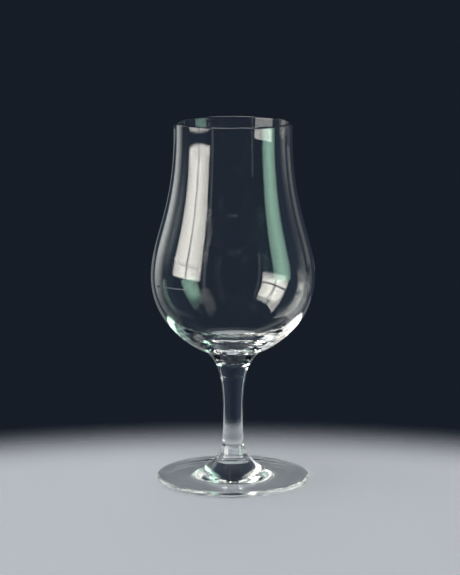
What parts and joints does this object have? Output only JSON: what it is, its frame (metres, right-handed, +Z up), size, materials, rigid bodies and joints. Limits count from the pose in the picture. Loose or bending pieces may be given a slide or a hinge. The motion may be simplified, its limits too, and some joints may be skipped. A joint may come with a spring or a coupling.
{
  "type": "nosing glass",
  "caption": "Clear stemmed nosing glass: a tulip bowl with a near-straight mouth and a thick base, a drawn stem and a flat disc foot with a rounded edge.",
  "frame": {"origin": "middle of the foot's standing ring, on the table", "axes": "+Z up along the axis of the glass, out of the mouth; X and Y are free, because every piece is turned about Z"},
  "size_m": [0.0678, 0.0678, 0.15],
  "materials": {
    "clear_glass": "clear, colourless, fire-polished"
  },
  "bodies": {
    "root": {"bowl": "clear_glass", "stem": "clear_glass", "foot": "clear_glass"}
  },
  "joints": []
}
